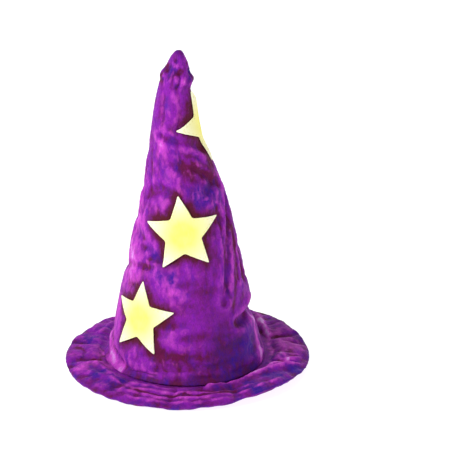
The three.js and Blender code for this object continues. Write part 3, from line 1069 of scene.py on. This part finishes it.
def build_star(name, seed):
    """A felt star laid over the finished velvet, with a line pressed in where it is sewn."""
    count = len(STAR_OUTLINE)
    ragged = 1 + 0.006 * rough(np.column_stack([STAR_OUTLINE, np.zeros(count)]), 4 * MM, 2, seed)
    outline = STAR_OUTLINE * ragged[:, None]
    points, cloth = [], []
    for share, height in [(0.0, 1.0), *STAR_RINGS, (0.0, 0.0)]:
        spots = outline * share if share else outline[:1] * 0
        azimuth, z = off_star(name, spots[:, 0], spots[:, 1])
        points.append(over_crown(azimuth, z, STAR_GAP + height * FELT))
        cloth.append(np.column_stack([spots, np.full(len(spots), height * FELT)]))
    faces = (1 + grid_faces(len(STAR_RINGS), count)[:, ::-1]).tolist()
    end = 1 + len(STAR_RINGS) * count
    faces += fan(1, count, 0) + fan(end - count, count, end, turned=True)
    name = name.replace("star", "felt")
    return make_mesh(name, np.concatenate(points), faces, cloth=np.concatenate(cloth))


def build_star_stitches(name):
    lift = np.array([-0.3, 0.12, 0.2, 0.12, -0.3]) * MM
    paths = []
    corners = [*STAR_OUTLINE[::STAR_STEPS], STAR_OUTLINE[0]]
    for start, end in zip(corners, corners[1:]):
        start, end = start * STITCH_INSET, end * STITCH_INSET
        run = np.linalg.norm(end - start)
        count = int(run / STITCH_PITCH)
        for k in range(count):
            shares = (k + 0.5 + np.linspace(-0.29, 0.29, 5)) / count
            spots = start + shares[:, None] * (end - start)
            azimuth, z = off_star(name, spots[:, 0], spots[:, 1])
            points = over_crown(azimuth, z, STAR_GAP + 0.86 * FELT)
            away = points - crown_points(azimuth, z)
            away /= np.linalg.norm(away, axis=1, keepdims=True)
            paths.append(points + away * lift[:, None])
    return tubes(name.replace("star", "stitches"), paths, 0.26 * MM)


stars = {name: build_star(name, 51 + k) for k, name in enumerate(STARS)}
star_stitches = {name: build_star_stitches(name) for name in STARS}


# -------- materials
def srgb(red, green, blue):
    """A colour given by its screen values from 0 to 255, as a shader wants it."""
    return tuple(((c / 255 + 0.055) / 1.055) ** 2.4 for c in (red, green, blue)) + (1.0,)


class Wiring:
    """A short way to wire up the nodes of a tree."""

    def __init__(self, tree):
        self.tree = tree

    def put(self, socket, value):
        if isinstance(value, bpy.types.NodeSocket):
            self.tree.links.new(value, socket)
        else:
            socket.default_value = value

    def node(self, kind, inputs, output=0, **settings):
        made = self.tree.nodes.new("ShaderNode" + kind)
        for key, value in settings.items():
            setattr(made, key, value)
        for key, value in inputs.items():
            self.put(made.inputs[key], value)
        return made.outputs[output]

    def spread(self, value, low, high, to_low=0.0, to_high=1.0):
        return self.node("MapRange", {0: value, 1: low, 2: high, 3: to_low, 4: to_high})


class Finish(Wiring):
    """A material, and short ways to make its textures."""

    def __init__(self, name, **sockets):
        self.material = bpy.data.materials.new(name)
        self.material.use_nodes = True
        super().__init__(self.material.node_tree)
        self.shader = self.tree.nodes["Principled BSDF"]
        for socket, value in sockets.items():
            self.shader.inputs[socket.replace("_", " ")].default_value = value

    def attribute(self, name):
        return self.node("Attribute", {}, "Vector", attribute_name=name)

    def position(self):
        return self.node("TexCoord", {}, "Object")

    def noise(self, place, size, detail=3.0, stretch=(1, 1, 1), bend=0.0):
        scale = tuple(k / size for k in stretch)
        spread = self.node("VectorMath", {0: place, 1: scale}, operation="MULTIPLY")
        inputs = {"Vector": spread, "Scale": 1.0, "Detail": detail, "Distortion": bend}
        return self.node("TexNoise", inputs, 0)

    def wave(self, place, size, axis, bend=0.0):
        spread = self.node("VectorMath", {0: place, 1: (1 / size,) * 3}, operation="MULTIPLY")
        inputs = {"Vector": spread, "Scale": 0.314, "Distortion": bend, "Detail": 1.0}
        return self.node("TexWave", inputs, 1, bands_direction=axis)

    def math(self, operation, a, b, clamp=False):
        return self.node("Math", {0: a, 1: b}, operation=operation, use_clamp=clamp)

    def mix(self, share, a, b, **settings):
        return self.node("Mix", {0: share, 6: a, 7: b}, 2, data_type="RGBA", **settings)

    def bumped(self, height, distance, strength=1.0, under=None):
        inputs = {"Height": height, "Distance": distance, "Strength": strength}
        if under is not None:
            inputs["Normal"] = under
        return self.node("Bump", inputs)

    def done(self, colour, roughness, normal):
        """The material with its three textured sockets wired up."""
        self.put(self.shader.inputs["Base Color"], colour)
        self.put(self.shader.inputs["Roughness"], roughness)
        if normal is not None:
            self.put(self.shader.inputs["Normal"], normal)
        return self.material


PURPLE = srgb(134, 23, 163)
MAROON = srgb(96, 6, 68)
BLUE_VIOLET = srgb(60, 16, 142)
PINK = srgb(200, 68, 198)
# the painted sheen
PALE = srgb(222, 166, 240)
# the painted shade round the stars
BROWN = srgb(80, 16, 28)


def velvet_material():
    m = Finish("crushed_velvet", Sheen_Weight=0.35, Sheen_Roughness=0.35,
               Sheen_Tint=srgb(230, 120, 226), Specular_IOR_Level=0.15)
    place = m.attribute("cloth")
    tone = m.node("SeparateXYZ", {0: m.attribute("tone")}, 0).node
    flecks = m.noise(place, 5 * MM, 4.0, (1.0, 1.0, 0.6), 1.0)
    streaks = m.noise(place, 3.2 * MM, 3.0, (1.0, 1.0, 0.45), 0.8)
    colour = PURPLE
    # past 1 the tone's light is a painted sheen, going pale lavender; below that its pink holds
    # painted highlights as well as the pile's own lighter patches
    shine = m.math("SUBTRACT", tone.outputs[2], 1.0, clamp=True)
    for output, amount, texture, paint in (
        (0, 1.3, flecks, MAROON), (1, 1.2, streaks, BLUE_VIOLET), (2, 1.1, flecks, PINK),
    ):
        off = m.math("MULTIPLY", m.math("SUBTRACT", texture, 0.5), amount)
        share = m.math("ADD", tone.outputs[output], off, clamp=True)
        colour = m.mix(share, colour, paint)
    colour = m.mix(shine, colour, PALE)
    # the painted shade round the stars, on pressed pile, goes brown
    pressed_and_shaded = m.node("SeparateXYZ", {0: m.attribute("pressed_and_shaded")}, 0)
    brown = m.math("MULTIPLY", pressed_and_shaded, m.spread(flecks, 0.3, 0.7, 0.55, 1.25), clamp=True)
    colour = m.mix(brown, colour, BROWN)
    pile = m.noise(place, 0.8 * MM, 2.0)
    crush = m.noise(place, 2.0 * MM, 4.0, (1.0, 1.0, 0.6), 1.6)
    uneven = m.math("ADD", m.math("ADD", pile, streaks), m.math("MULTIPLY", crush, 2.0))
    shade = m.spread(uneven, 1.4, 2.6, 0.66, 1.24)
    colour = m.mix(1.0, colour, m.node("CombineXYZ", {0: shade, 1: shade, 2: shade}),
                   blend_type="MULTIPLY")
    crushed = m.bumped(crush, 0.8 * MM, 0.6, m.bumped(flecks, 0.9 * MM, 0.5))
    dull = m.spread(streaks, 0.3, 0.7, 0.5, 0.85)
    return m.done(colour, dull, m.bumped(pile, 0.25 * MM, 0.6, crushed))


def felt_material():
    m = Finish("felt", Sheen_Weight=0.25, Sheen_Roughness=0.6, Specular_IOR_Level=0.1)
    place = m.attribute("cloth")
    blotch = m.noise(place, 14 * MM, 3.0)
    fibre = m.noise(place, 0.7 * MM, 4.0, (1, 1, 1), 2.5)
    strand = m.noise(place, 1.6 * MM, 2.0, (1.0, 0.2, 1.0), 1.5)
    away = m.node("VectorMath", {0: place}, "Value", operation="LENGTH")
    colour = m.mix(m.spread(blotch, 0.35, 0.65), srgb(252, 241, 106), srgb(254, 247, 128))
    # paler towards the tips: a painted highlight
    colour = m.mix(m.spread(away, 13 * MM, 38 * MM, 0.0, 0.9), colour, srgb(255, 254, 226))
    colour = m.mix(m.spread(strand, 0.5, 0.8, 0.0, 0.25), colour, srgb(255, 252, 180))
    colour = m.mix(m.spread(fibre, 0.3, 0.5, 0.25, 0.0), colour, srgb(232, 214, 96))
    matted = m.bumped(fibre, 0.2 * MM, 0.7, m.bumped(strand, 0.3 * MM, 0.5))
    return m.done(colour, m.spread(fibre, 0.3, 0.7, 0.8, 1.0), matted)


def thread_material(name, light, dark):
    m = Finish(name, Sheen_Weight=0.2)
    twist = m.wave(m.position(), 0.35 * MM, "DIAGONAL", 0.5)
    colour = m.mix(twist, light, dark)
    return m.done(colour, m.spread(twist, 0.0, 1.0, 0.45, 0.65), m.bumped(twist, 0.06 * MM))


def satin_material():
    m = Finish("satin", Sheen_Weight=0.3, Sheen_Roughness=0.25, Specular_IOR_Level=0.6,
               Anisotropic=0.6)
    warp = m.noise(m.position(), 0.35 * MM, 2.0, (1.0, 1.0, 0.06))
    cloud = m.noise(m.position(), 20 * MM, 2.0)
    colour = m.mix(m.spread(cloud, 0.3, 0.7), srgb(52, 20, 78), srgb(72, 30, 104))
    colour = m.mix(m.spread(warp, 0.4, 0.7, 0.0, 0.4), colour, srgb(112, 62, 150))
    return m.done(colour, m.spread(warp, 0.3, 0.7, 0.25, 0.4), m.bumped(warp, 0.05 * MM, 0.5))


def ribbon_material():
    m = Finish("grosgrain", Sheen_Weight=0.15, Specular_IOR_Level=0.35)
    place = m.attribute("cloth")
    rib = m.wave(place, 1.1 * MM, "X", 0.15)
    yarn = m.noise(place, 0.5 * MM, 2.0, (1.0, 0.3, 1.0))
    colour = m.mix(rib, srgb(26, 18, 34), srgb(56, 42, 68))
    colour = m.mix(m.spread(yarn, 0.4, 0.7, 0.0, 0.3), colour, srgb(82, 64, 96))
    ribbed = m.bumped(rib, 0.3 * MM, 0.8, m.bumped(yarn, 0.05 * MM, 0.5))
    return m.done(colour, m.spread(yarn, 0.3, 0.7, 0.5, 0.7), ribbed)


def label_material():
    m = Finish("woven_tape", Specular_IOR_Level=0.3)
    place = m.attribute("cloth")
    weave = m.math("MULTIPLY", *(m.wave(place, 0.5 * MM, axis, 0.1) for axis in "YX"))
    colour = m.mix(weave, srgb(222, 218, 206), srgb(246, 244, 238))
    cloud = m.spread(m.noise(place, 6 * MM, 2.0), 0.4, 0.8, 0.0, 0.3)
    colour = m.mix(cloud, colour, srgb(228, 220, 198))
    return m.done(colour, m.spread(weave, 0.0, 1.0, 0.75, 0.55), m.bumped(weave, 0.12 * MM, 0.7))


def foam_material():
    m = Finish("open_cell_foam", Specular_IOR_Level=0.1)
    cells = m.node("TexVoronoi", {"Vector": m.position(), "Scale": 1 / (1.1 * MM)}, "Distance")
    colour = m.mix(m.spread(cells, 0.1, 0.5), srgb(30, 26, 36), srgb(66, 60, 74))
    cloud = m.spread(m.noise(m.position(), 18 * MM, 2.0), 0.4, 0.7, 0.0, 0.4)
    colour = m.mix(cloud, colour, srgb(52, 46, 52))
    return m.done(colour, m.spread(cells, 0.0, 0.6, 1.0, 0.85), m.bumped(cells, 0.4 * MM, 0.8))


def wadding_material():
    m = Finish("polyester_wadding", Sheen_Weight=0.5, Subsurface_Weight=0.2,
               Subsurface_Scale=2 * MM)
    fibre = m.noise(m.position(), 0.9 * MM, 5.0, (1, 1, 1), 3.0)
    colour = m.mix(m.spread(fibre, 0.35, 0.65), srgb(214, 212, 204), srgb(248, 247, 242))
    return m.done(colour, m.spread(fibre, 0.3, 0.7, 0.85, 1.0), m.bumped(fibre, 0.8 * MM, 0.9))


def steel_material():
    m = Finish("drawn_steel", Metallic=1.0)
    drawn = m.noise(m.position(), 0.5 * MM, 3.0, (1, 1, 0.2))
    colour = m.mix(m.spread(drawn, 0.3, 0.7), srgb(150, 152, 156), srgb(200, 202, 206))
    spots = m.spread(m.noise(m.position(), 9 * MM, 4.0), 0.6, 0.75, 0.0, 0.5)
    colour = m.mix(spots, colour, srgb(120, 104, 88))
    return m.done(colour, m.spread(drawn, 0.3, 0.7, 0.22, 0.42), m.bumped(drawn, 0.03 * MM, 0.5))


velvet = velvet_material()
felt = felt_material()
star_thread = thread_material("star_thread", srgb(252, 244, 150), srgb(226, 208, 96))
dark_thread = thread_material("dark_thread", srgb(70, 52, 84), srgb(28, 20, 36))
foam = foam_material()
steel = steel_material()


def finish_piece(obj, material, replaced=(), body="hat"):
    obj.data.materials.clear()
    obj.data.materials.append(material)
    if body == "both":
        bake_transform(obj)
    else:
        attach(obj, body)
    if replaced:
        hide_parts(*replaced)


finish_piece(crown, velvet, CROWN_NODES, "both")
finish_piece(brim_top, velvet, ("brim_top_velvet",))
finish_piece(brim_underside, velvet, ("brim_underside_velvet",))
finish_piece(foam_cone, foam, ("crown_foam",))
finish_piece(foam_ring, foam, ("brim_foam",))
finish_piece(wadding, wadding_material(), ("tip_wadding",), "tip")
finish_piece(lining, satin_material(), ("crown_lining",))
finish_piece(sweatband, ribbon_material(), ("sweatband",))
finish_piece(band_stitches, dark_thread)
finish_piece(label, label_material(), ("size_label",))
finish_piece(label_stitches, dark_thread)
for name, star in stars.items():
    body = "both" if name == "star_right_high" else "hat"
    finish_piece(star, felt, (name,), body)
    finish_piece(star_stitches[name], star_thread, (), body)
for name in ("brim_wire", "wire_joiner"):
    nodes[name].data.materials.clear()
    nodes[name].data.materials.append(steel)


# -------- floor and light
def floor_material():
    m = Finish("pale_floor", Emission_Strength=0.85, Emission_Color=(1, 1, 1, 1))
    grain = m.noise(m.position(), 0.4, 2.0)
    return m.done(m.mix(grain, (0.42, 0.42, 0.42, 1), (0.46, 0.46, 0.46, 1)), 0.9, None)


FLOOR = 12.0
corners = [(-FLOOR, -FLOOR, 0), (FLOOR, -FLOOR, 0), (FLOOR, FLOOR, 0), (-FLOOR, FLOOR, 0)]
floor = make_mesh("floor", corners, [(0, 1, 2, 3)])
floor.location.z = -0.2 * MM
floor.data.materials.append(floor_material())


def area_light(name, place, size, energy, colour=(1, 1, 1)):
    data = bpy.data.lights.new(name, "AREA")
    data.size = size
    data.energy = energy
    data.color = colour
    light = bpy.data.objects.new(name, data)
    light.location = place
    light.rotation_mode = "QUATERNION"
    light.rotation_quaternion = (Vector((0, 0, 0.17)) - Vector(place)).to_track_quat("-Z", "Y")
    bpy.context.scene.collection.objects.link(light)


area_light("key", (-1.7, -1.1, 1.6), 0.6, 44)
area_light("fill", (1.7, -1.2, 0.8), 1.2, 9)
area_light("back", (0.4, 1.8, 1.6), 1.2, 12)
world = bpy.data.worlds.new("studio")
world.use_nodes = True
# A pale wall all round, up to where the room gets dimmer overhead.
sky = Wiring(world.node_tree)
up = sky.node("SeparateXYZ", {0: sky.node("TexCoord", {}, "Generated")}, "Z")
background = sky.tree.nodes["Background"]
background.inputs["Color"].default_value = (1, 1, 1, 1)
sky.put(background.inputs["Strength"], sky.spread(up, 0.15, 0.3, 1.0, 0.3))
bpy.context.scene.world = world
bpy.context.scene.view_settings.view_transform = "Standard"
